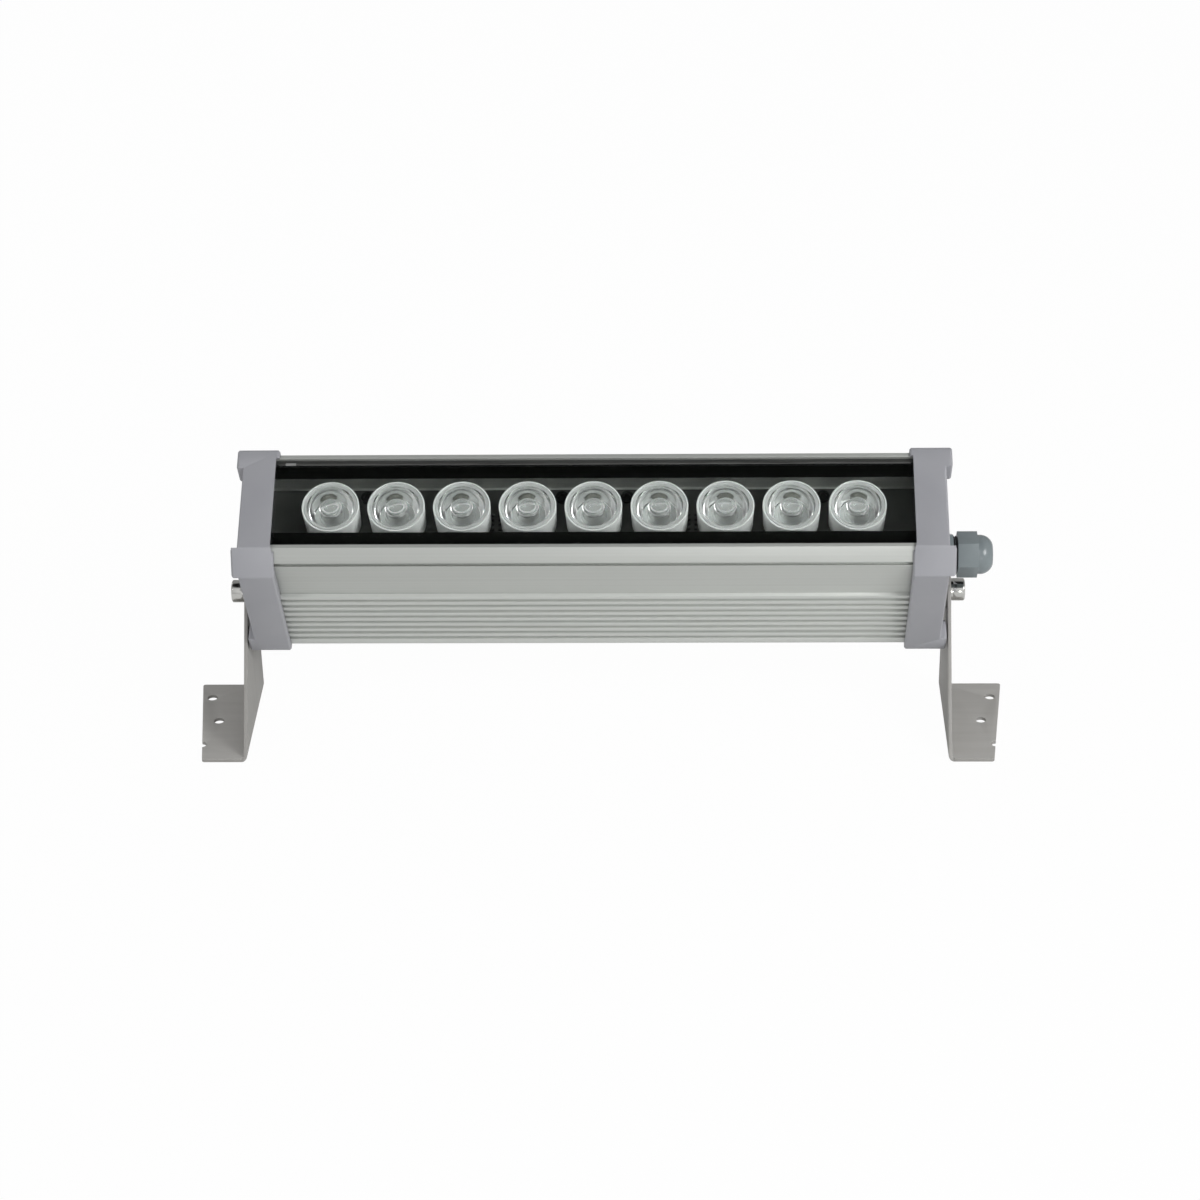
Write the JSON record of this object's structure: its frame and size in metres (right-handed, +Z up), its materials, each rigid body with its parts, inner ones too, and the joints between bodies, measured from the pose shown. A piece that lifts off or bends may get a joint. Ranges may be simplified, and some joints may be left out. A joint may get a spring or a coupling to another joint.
{
  "type": "wall washer light",
  "caption": "Outdoor linear wall washer: ribbed aluminium housing with a row of lenses under glass, painted end caps, a cable gland, and two folded steel brackets it tilts on.",
  "frame": {"origin": "on the mounting plane under the feet, at the middle of the whole light's bounding box", "axes": "+X along the housing towards the gland, +Y from the feet's front edge to their back edge, +Z up from the mounting plane"},
  "size_m": [0.3622, 0.083, 0.1318],
  "materials": {
    "anodised_aluminium": "satin anodised, drawn along its length",
    "cap_paint": "satin blue-grey powder coat",
    "gasket_rubber": "matt black",
    "cover_glass": "clear toughened glass",
    "glass_print": "black ceramic print behind glass",
    "glass_sealant": "pale grey silicone",
    "lens_acrylic": "clear polished",
    "holder_plastic": "whitish translucent",
    "led_package": "pale yellow dome on white",
    "led_board": "dark solder mask on aluminium",
    "screw_steel": "plain stainless",
    "dark_screw_steel": "blackened",
    "washer_nylon": "natural nylon",
    "driver_case": "plain sheet",
    "driver_board": "green laminate with parts",
    "terminal_plastic": "off-white",
    "gland_nylon": "blue-grey nylon",
    "bracket_steel": "satin rolled sheet"
  },
  "bodies": {
    "light": {"board_screws": "dark_screw_steel", "cap_screws_left": "screw_steel", "cap_screws_right": "screw_steel", "cover_glass": "cover_glass", "driver_board": "driver_board", "driver_case": "driver_case", "driver_cover": "driver_case", "driver_screws": "screw_steel", "end_cap_left": "cap_paint", "end_cap_right": "cap_paint", "end_gasket_left": "gasket_rubber", "end_gasket_right": "gasket_rubber", "friction_washer_left": "washer_nylon", "friction_washer_right": "washer_nylon", "gland_body": "gland_nylon", "gland_insert": "gasket_rubber", "gland_locknut": "gland_nylon", "gland_nut": "gland_nylon", "gland_washer": "gasket_rubber", "glass_border": "glass_print", "glass_seal": "glass_sealant", "housing_extrusion": "anodised_aluminium", "led_1": "led_package", "led_2": "led_package", "led_3": "led_package", "led_4": "led_package", "led_5": "led_package", "led_6": "led_package", "led_7": "led_package", "led_8": "led_package", "led_9": "led_package", "led_board": "led_board", "lens_1": "lens_acrylic", "lens_2": "lens_acrylic", "lens_3": "lens_acrylic", "lens_4": "lens_acrylic", "lens_5": "lens_acrylic", "lens_6": "lens_acrylic", "lens_7": "lens_acrylic", "lens_8": "lens_acrylic", "lens_9": "lens_acrylic", "lens_holder_1": "holder_plastic", "lens_holder_2": "holder_plastic", "lens_holder_3": "holder_plastic", "lens_holder_4": "holder_plastic", "lens_holder_5": "holder_plastic", "lens_holder_6": "holder_plastic", "lens_holder_7": "holder_plastic", "lens_holder_8": "holder_plastic", "lens_holder_9": "holder_plastic", "pivot_bolt_left": "screw_steel", "pivot_bolt_right": "screw_steel", "spring_washer_left": "screw_steel", "spring_washer_right": "screw_steel", "terminal_block": "terminal_plastic"},
    "left_bracket": {"bracket_left": "bracket_steel"},
    "right_bracket": {"bracket_right": "bracket_steel"}
  },
  "joints": [
    {"name": "left_bracket_pivot", "type": "hinge", "parent": "light", "child": "left_bracket", "pos_m": [-0.1542, 0.0085, 0.0594], "axis": [1, 0, 0], "range_deg": [-59, 121]},
    {"name": "right_bracket_pivot", "type": "hinge", "parent": "light", "child": "right_bracket", "pos_m": [0.1542, 0.0085, 0.0594], "axis": [1, 0, 0], "range_deg": [-59, 121]}
  ]
}
